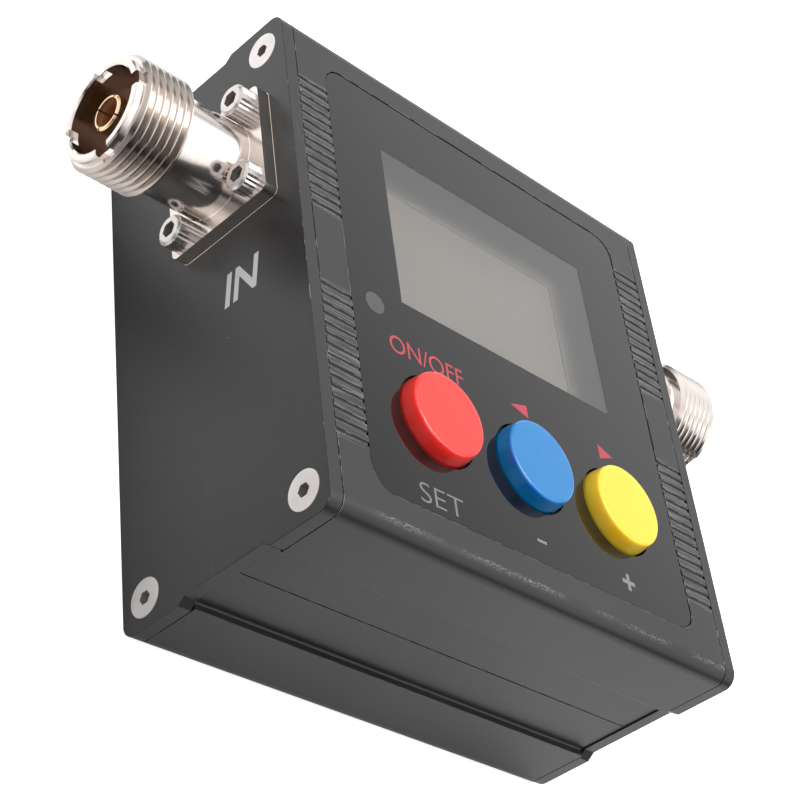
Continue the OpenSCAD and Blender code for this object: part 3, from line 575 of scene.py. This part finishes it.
# %% [markdown]
# ## Window pane and indicator
# The window is a clear pane. It is a coat of gloss over a body that hardly bends light, which keeps its
# cut edges from flashing. The coat is on the front face alone, since a second one behind it would mirror
# the room twice. The small round indicator window is smoked, so it needs no transparency.

# %% Window pane and indicator
PANE_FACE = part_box("display_window")[1][2]
COAT_DEPTH = 0.05 * MM

pane, tree, shader = new_material(
    "clear_pane", IOR=1.04, Transmission_Weight=1.0, Coat_IOR=1.5, Coat_Roughness=0.03
)
depth = axes(tree, own_place(tree))["Z"]
feed(tree, shader.inputs["Coat Weight"], calc(tree, "GREATER_THAN", depth, PANE_FACE - COAT_DEPTH))
skin = use(tree, grain, Scale=700.0, Patch_Scale=30.0)
clear = mix(tree, skin["Patches"], (0.93, 0.93, 0.93), (0.97, 0.97, 0.97))
feed(tree, shader.inputs["Base Color"], clear)
feed(tree, shader.inputs["Roughness"], spread(tree, skin["Patches"], 0.0, 0.02))
finish(pane, "display_window")

smoked, tree, shader = new_material("smoked_lens", IOR=1.49)
skin = use(tree, grain, Scale=900.0, Patch_Scale=300.0)
smoke = mix(tree, skin["Patches"], (0.045, 0.045, 0.046), (0.065, 0.065, 0.065))
feed(tree, shader.inputs["Base Color"], smoke)
feed(tree, shader.inputs["Roughness"], spread(tree, skin["Fine"], 0.25, 0.4))
finish(smoked, "indicator_window")

# %% [markdown]
# ## Display
# The display is switched off. An unlit display of this kind is dull beige behind its polariser, and its
# frame is grey. Where the two meet the picture is soft, because light creeps under the frame, so one
# mask fades both of them across that line. Half of the brightness is a plain colour and half is a
# painted glow: though unlit, the display emits light, which lifts the shade that the panel casts on it.

# %% Display
VIEW_HALF = (17.0 * MM, 10.6 * MM)
VIEW_Y = 10.4 * MM
PAINTED_GLOW_INSIDE = (0.105, 0.094, 0.087)
PAINTED_GLOW_OUTSIDE = (0.098, 0.096, 0.094)

view_fade, given, result = new_group("view_fade", {"Inner": 0.2 * MM, "Outer": 0.9 * MM}, ["Mask"])
across = axes(view_fade, own_place(view_fade))
past_side = calc(view_fade, "SUBTRACT", calc(view_fade, "ABSOLUTE", across["X"]), VIEW_HALF[0])
from_middle = calc(view_fade, "ABSOLUTE", calc(view_fade, "SUBTRACT", across["Y"], VIEW_Y))
past_end = calc(view_fade, "SUBTRACT", from_middle, VIEW_HALF[1])
past = calc(view_fade, "MAXIMUM", past_side, past_end)
inner = calc(view_fade, "SUBTRACT", 0.0, given["Inner"])
view_fade.links.new(remap(view_fade, past, inner, given["Outer"]), result["Mask"])


def display_part(name, rough_low, rough_high):
    """Beige inside the viewing area, fading to grey outside it, with a painted glow over both."""
    material, tree, shader = new_material(name, IOR=1.5, Emission_Strength=1.0)
    skin = use(tree, grain, Scale=3000.0, Patch_Scale=25.0)
    outside = use(tree, view_fade)["Mask"]
    beige = mix(tree, skin["Patches"], (0.095, 0.089, 0.08), (0.105, 0.099, 0.09))
    grey = mix(tree, skin["Patches"], (0.033, 0.033, 0.033), (0.038, 0.038, 0.038))
    feed(tree, shader.inputs["Base Color"], mix(tree, outside, beige, grey))
    # Painted glow: emission on an unlit display, lifting the panel's shade.
    feed(tree, shader.inputs["Emission Color"], mix(tree, outside, PAINTED_GLOW_INSIDE, PAINTED_GLOW_OUTSIDE))
    feed(tree, shader.inputs["Roughness"], spread(tree, skin["Fine"], rough_low, rough_high))
    return material


finish(display_part("unlit_display", 0.45, 0.55), "display_glass")
finish(display_part("display_rim", 0.5, 0.65), "display_frame")

# %% [markdown]
# ## Push caps
# The caps are solid-coloured moulded plastic with a clean shine. The skin has a very fine grain, so the
# roughness is low and only just uneven. Such plastic lets light in and carries it a little way, some
# colours further than others, so the shaded side of a cap keeps a deep colour: that is subsurface
# scattering. The edge is softened with the rounded normal, and catches a thin bright line.

# %% Push caps
CARRY = 2.5 * MM


def moulded(name, dark, light, rough_low, rough_high, depth=0.004 * MM, edge=None, **inputs):
    """Moulded plastic: slightly cloudy colour, with a fine skin, and soft edges if a width is given."""
    material, tree, shader = new_material(name, **inputs)
    skin = use(tree, grain, Scale=3200.0, Patch_Scale=90.0)
    cloudy = spread(tree, skin["Patches"], 0.0, 1.0)
    feed(tree, shader.inputs["Base Color"], mix(tree, cloudy, dark, light))
    feed(tree, shader.inputs["Roughness"], spread(tree, skin["Fine"], rough_low, rough_high))
    softened = use(tree, worn_edges, Width=edge)["Normal"] if edge else None
    raise_bumps(tree, shader, skin["Fine"], depth, softened)
    return material


def cap_plastic(name, dark, light, carried):
    """The shiny plastic of a push cap, which carries some colours of light further than others."""
    return moulded(
        name, dark, light, 0.04, 0.07, depth=0.0008 * MM, edge=0.2 * MM, IOR=1.62,
        Subsurface_Weight=1.0, Subsurface_Scale=CARRY, Subsurface_Radius=carried,
    )


red = cap_plastic("red_plastic", (0.86, 0.034, 0.024), (0.92, 0.04, 0.03), (1.6, 0.1, 0.1))
blue = cap_plastic("blue_plastic", (0.0, 0.175, 0.43), (0.001, 0.195, 0.48), (0.1, 0.3, 0.8))
yellow = cap_plastic("yellow_plastic", (0.97, 0.56, 0.025), (1.0, 0.6, 0.04), (1.0, 0.9, 0.1))
finish(red, "red_cap")
finish(blue, "blue_cap")
finish(yellow, "yellow_cap")

# %% [markdown]
# ## Dirt and painted shade in sockets
# The hex sockets of the screws and the bores of the contacts are darker and browner than the bright
# metal round them, the more so the deeper below the mouth. In a bore that is tarnish; in a socket it is
# dirt and painted shade. All of them open along X, on one of four axes round a jack or on the jack's own
# axis. Folding Y and Z about that axis lays the four screws on one, so a single distance finds every
# socket. The depth below its mouth and the cover set how much metal is hidden.

# %% Group: deep dirt and painted shade
jack_low, jack_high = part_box("left_jack_body")
JACK_Y = (jack_low[1] + jack_high[1]) / 2
JACK_Z = (jack_low[2] + jack_high[2]) / 2
CLEAN_RIM = 0.05 * MM


def off_axis(tree, at, fold=0.0):
    """How far a point is from the jack's axis, or from the nearest of four axes beside it."""
    squares = []
    for axis, middle in (("Y", JACK_Y), ("Z", JACK_Z)):
        aside = calc(tree, "ABSOLUTE", calc(tree, "SUBTRACT", at[axis], middle))
        folded = calc(tree, "ABSOLUTE", calc(tree, "SUBTRACT", aside, fold))
        squares.append(calc(tree, "POWER", folded, 2.0))
    return calc(tree, "SQRT", calc(tree, "ADD", *squares))


deep_dirt_and_shade, given, result = new_group(
    "deep_dirt_and_shade", {"Mouth": 40.0 * MM, "Depth": 0.5 * MM, "Fold": 0.0, "Reach": 1.0, "Cover": 0.9}, ["Mask"]
)
across = axes(deep_dirt_and_shade, own_place(deep_dirt_and_shade))
inside = calc(deep_dirt_and_shade, "LESS_THAN", off_axis(deep_dirt_and_shade, across, given["Fold"]), given["Reach"])
below = calc(deep_dirt_and_shade, "SUBTRACT", given["Mouth"], calc(deep_dirt_and_shade, "ABSOLUTE", across["X"]))
deep = remap(deep_dirt_and_shade, below, CLEAN_RIM, given["Depth"])
covered = calc(deep_dirt_and_shade, "MULTIPLY", deep, given["Cover"])
deep_dirt_and_shade.links.new(calc(deep_dirt_and_shade, "MULTIPLY", inside, covered), result["Mask"])

# %% [markdown]
# ## Jacks
# The jack bodies are turned brass with bright nickel plate, which is a warm silver. The left thread has
# a darker plate: painted shade for the dark surroundings that it mirrors. The centre contacts are gold
# plated, with tarnish in the bore, and the insulator is a brown moulding. The turned lines go into both
# the roughness and the bumps, so that highlights stretch across the rings.

# %% Jacks
DIRT_AND_SHADE = (0.05, 0.022, 0.015)
TARNISH = (0.3, 0.065, 0.02)
PAINTED_SHADE_NICKEL = (0.5, 0.44, 0.4)
THREAD_INNER, THREAD_OUTER = jack_low[0] + 8.45 * MM, jack_low[0] + 1.1 * MM
THREAD_ROOT = 6.8 * MM
NICKEL = ((0.73, 0.66, 0.615), (0.8, 0.735, 0.69), 0.12, 0.2)
GOLD = ((0.78, 0.52, 0.3), (0.88, 0.64, 0.4), 0.18, 0.3)
RING_DEPTH = 0.0015 * MM


def painted_shade_thread(tree):
    """A mask of the left jack's thread, which gets a darker plate as painted shade."""
    at = axes(tree, own_place(tree))
    begun = calc(tree, "LESS_THAN", at["X"], THREAD_INNER)
    not_ended = calc(tree, "GREATER_THAN", at["X"], THREAD_OUTER)
    outside = calc(tree, "GREATER_THAN", off_axis(tree, at), THREAD_ROOT)
    return product(tree, begun, not_ended, outside)


def plated(name, dark, light, rough_low, rough_high, dirt_and_shade=None, dirt_and_shade_colour=DIRT_AND_SHADE, shade_thread=False):
    """Bright plating over a turned part, with tarnish in a bore, dirt and painted shade in sockets, or a
    thread darkened as painted shade.
    """
    material, tree, shader = new_material(name, Metallic=1.0)
    skin = use(tree, grain, Scale=1500.0, Patch_Scale=220.0)
    rings = use(tree, turned_lines, Scale=5200.0)["Lines"]
    plating = mix(tree, spread(tree, skin["Patches"], 0.0, 1.0), dark, light)
    # Sockets darken deeper in with dirt and painted shade; a bore takes tarnish.
    if dirt_and_shade:
        film = use(tree, deep_dirt_and_shade, **dirt_and_shade)["Mask"]
        plating = mix(tree, film, plating, dirt_and_shade_colour)
        feed(tree, shader.inputs["Metallic"], calc(tree, "SUBTRACT", 1.0, film))
    # Painted shade: a darker plate on the left thread.
    if shade_thread:
        plating = mix(tree, painted_shade_thread(tree), plating, PAINTED_SHADE_NICKEL)
    feed(tree, shader.inputs["Base Color"], plating)
    feed(tree, shader.inputs["Roughness"], spread(tree, rings, rough_low, rough_high))
    raise_bumps(tree, shader, rings, RING_DEPTH)
    return material


def mouth(name):
    """How far the outer end of a piece on the right side is from the middle."""
    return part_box(name)[1][0]


bore_dirt = {"Mouth": mouth("right_jack_contact"), "Depth": 1.2 * MM, "Reach": 2.1 * MM}
finish(plated("nickel", *NICKEL, shade_thread=True), "left_jack_body", "right_jack_body")
finish(plated("gold_contact", *GOLD, dirt_and_shade=bore_dirt, dirt_and_shade_colour=TARNISH),
       "left_jack_contact", "right_jack_contact")
finish(plated("gold_plate", *GOLD), "through_line", "sense_lines", "display_pins")
finish(moulded("brown_insulator", (0.38, 0.215, 0.15), (0.46, 0.27, 0.19), 0.25, 0.35),
       "left_jack_insulator", "right_jack_insulator")

# %% [markdown]
# ## Screws
# The screws are bright steel. They share the plated finish, with a cooler colour. The four screws of a
# jack lie on a square, and half of its side is the fold that brings their sockets together.

# %% Screws
STEEL = ((0.6, 0.565, 0.55), (0.7, 0.665, 0.65), 0.24, 0.36)
SCREW_FOLD = 6.35 * MM
# Screw sockets: dirt and painted shade, darker deeper in.
plate_screw_dirt_and_shade = {"Mouth": mouth("right_plate_screws"), "Depth": 0.6 * MM, "Cover": 0.5}
jack_screw_dirt_and_shade = {
    "Mouth": mouth("right_jack_screws"), "Depth": 0.9 * MM, "Cover": 0.6,
    "Fold": SCREW_FOLD, "Reach": 1.2 * MM,
}
plate_screw_steel = plated("plate_screw_steel", *STEEL, dirt_and_shade=plate_screw_dirt_and_shade)
jack_screw_steel = plated("jack_screw_steel", *STEEL, dirt_and_shade=jack_screw_dirt_and_shade)
finish(plate_screw_steel, "left_plate_screws", "right_plate_screws")
finish(jack_screw_steel, "left_jack_screws", "right_jack_screws")

# %% [markdown]
# ## Inner pieces
# Nothing inside shows from outside, but the part comes apart, so the inner pieces are finished too. The
# finishes of the outer pieces, moulded and plated, serve for all of them with other values.

# %% Inner pieces
finish(moulded("solder_mask", (0.012, 0.075, 0.03), (0.02, 0.1, 0.04), 0.3, 0.45),
       "main_board", "battery_guard")
finish(moulded("black_moulding", (0.015, 0.015, 0.016), (0.025, 0.025, 0.026), 0.45, 0.6),
       "switch_bodies", "microcontroller", "small_chips", "detector_parts", "charging_tongue", "panel_tape")
finish(moulded("white_moulding", (0.7, 0.68, 0.63), (0.78, 0.76, 0.71), 0.4, 0.55),
       "red_plunger", "blue_plunger", "yellow_plunger", "status_lamp", "battery_plug", "battery_socket")
finish(plated("tin_plate", (0.58, 0.58, 0.57), (0.68, 0.68, 0.67), 0.25, 0.4),
       "switch_covers", "shield_can", "charging_socket")
finish(plated("pouch_foil", (0.62, 0.63, 0.65), (0.7, 0.71, 0.73), 0.3, 0.45), "battery")
finish(moulded("foam_pad", (0.04, 0.04, 0.042), (0.07, 0.07, 0.072), 0.85, 0.95, depth=0.05 * MM),
       "battery_pad")
finish(moulded("red_insulation", (0.4, 0.015, 0.015), (0.48, 0.025, 0.02), 0.4, 0.55), "battery_leads")

# %% [markdown]
# ## Ink
# The legends are screen printed. The ink is flat, matt and a little thin in places, so it is a moulded
# finish with a duller skin. Ink on a dark ground is never quite white.

# %% Ink
def ink(name, dark, light):
    """Screen-printing ink, a little thin in places."""
    return moulded(name, dark, light, 0.45, 0.6, depth=0.006 * MM)


RED_INK = ink("red_ink", (0.34, 0.02, 0.035), (0.4, 0.03, 0.05))
WHITE_INK = ink("white_ink", (0.16, 0.16, 0.163), (0.2, 0.2, 0.203))
GREY_INK = ink("grey_ink", (0.12, 0.12, 0.123), (0.16, 0.16, 0.163))
SILVER_INK = ink("silver_ink", (0.5, 0.5, 0.51), (0.62, 0.62, 0.63))
print("inks:", ", ".join(material.name for material in (RED_INK, WHITE_INK, GREY_INK, SILVER_INK)))

# %% [markdown]
# ## Printed pieces
# A printed layer is a few hundredths of a millimetre thick. Each legend is drawn flat, as a mesh in X and
# Y, and then stood on the surface that it is printed on, with a direction to read along and one for up.
# It belongs to the case, which never moves.

# %% Printed pieces
INK_T = 0.03 * MM
RIGHT = Vector((1, 0, 0))
UP = Vector((0, 1, 0))
OUT = Vector((0, 0, 1))


def laid_on(mesh, centre, across, up):
    """Stands a flat mesh, drawn in X and Y, on a surface."""
    out = across.cross(up)
    turn = Matrix((across, up, out)).transposed().to_4x4()
    mesh.transform(Matrix.Translation(centre) @ turn)
    return mesh


def printed_piece(name, mesh, material):
    """Makes a mesh a printed piece of the case."""
    mesh.materials.append(material)
    piece = bpy.data.objects.new(name, mesh)
    bpy.context.scene.collection.objects.link(piece)
    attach(piece, "case")
    print("printed:", name, [round(value / MM, 1) for value in piece.dimensions])


print("ink thickness, mm:", round(INK_T / MM, 3))

# %% [markdown]
# ## Words and triangles
# A word is set as text and turned into a mesh, since only a mesh can be fitted to a measured cap height
# and width. A triangle is quicker to draw corner by corner, and then to draw out to the ink's thickness.

# %% Words and triangles
def word(name, letters, height, width, centre, across, up, material, weight=0.0, slant=0.0):
    """A printed word of a given cap height and width, centred on a point."""
    text = bpy.data.curves.new(name, "FONT")
    text.body = letters
    text.offset = weight
    text.shear = slant
    text.extrude = 0.5  # any depth will do, because the mesh is then fitted to its size
    holder = bpy.data.objects.new(name, text)
    bpy.context.scene.collection.objects.link(holder)
    bpy.context.view_layer.update()
    solid_text = holder.evaluated_get(bpy.context.evaluated_depsgraph_get())
    mesh = bpy.data.meshes.new_from_object(solid_text)
    bpy.data.objects.remove(holder)
    low = Vector([min(v.co[i] for v in mesh.vertices) for i in range(3)])
    high = Vector([max(v.co[i] for v in mesh.vertices) for i in range(3)])
    size = high - low
    mesh.transform(Matrix.Translation(-(low + high) / 2))
    mesh.transform(Matrix.Diagonal((width / size.x, height / size.y, INK_T / size.z, 1.0)))
    mesh.name = name
    printed_piece(name, laid_on(mesh, centre, across, up), material)


def arrow(name, length, breadth, centre, pointing, material):
    """A printed triangle on the face, pointing to the left (-1) or to the right (1)."""
    outline = [(-length / 2, -breadth / 2), (length / 2, 0), (-length / 2, breadth / 2)]
    mesh = bpy.data.meshes.new(name)
    form = bmesh.new()
    base = form.faces.new([form.verts.new((x, y, -INK_T / 2)) for x, y in outline])
    drawn = bmesh.ops.extrude_face_region(form, geom=[base])["geom"]
    top = [part for part in drawn if isinstance(part, bmesh.types.BMVert)]
    bmesh.ops.translate(form, verts=top, vec=(0, 0, INK_T))
    bmesh.ops.recalc_face_normals(form, faces=form.faces)
    form.to_mesh(mesh)
    form.free()
    printed_piece(name, laid_on(mesh, centre, RIGHT * pointing, UP * pointing), material)


print("helpers:", word.__name__, arrow.__name__)

# %% [markdown]
# ## Printed legends
# The face has a word or a sign above and below each cap, and each end plate has a slanted word beside
# its jack. Seen from outside, up is the same on both plates, but the reading direction turns round. The
# words are plain ones that any such meter could carry.

# %% Printed legends
FACE_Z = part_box("front_panel")[1][2]
PLATE_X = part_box("right_end_plate")[1][0]
PLATE_STYLE = {"weight": 0.02, "slant": 0.2}


def on_face(x, y):
    """A point on the panel's face, from millimetres."""
    return Vector((x * MM, y * MM, FACE_Z))


def on_plate(side, y, z):
    """A point on the left (-1) or right (1) end plate, from millimetres."""
    return Vector((side * PLATE_X, y * MM, z * MM))


word("legend_on_off", "ON/OFF", 2.6 * MM, 12.6 * MM, on_face(-16.4, -9.9), RIGHT, UP, RED_INK)
word("legend_set", "SET", 2.7 * MM, 7.2 * MM, on_face(-17.3, -30.4), RIGHT, UP, GREY_INK, weight=-0.012)
word("legend_minus", "-", 0.4 * MM, 1.7 * MM, on_face(0.0, -29.55), RIGHT, UP, WHITE_INK)
word("legend_plus", "+", 2.4 * MM, 2.4 * MM, on_face(16.2, -29.55), RIGHT, UP, WHITE_INK, weight=0.02)
arrow("legend_left", 3.2 * MM, 2.0 * MM, on_face(0.1, -9.7), -1, RED_INK)
arrow("legend_right", 2.8 * MM, 2.3 * MM, on_face(16.9, -9.9), 1, RED_INK)
word("legend_in", "IN", 4.8 * MM, 6.6 * MM, on_plate(-1, 0.2, 24.0), OUT, UP, SILVER_INK, **PLATE_STYLE)
word("legend_out", "OUT", 4.8 * MM, 11.4 * MM, on_plate(1, 0.2, 21.0), -OUT, UP, SILVER_INK, **PLATE_STYLE)
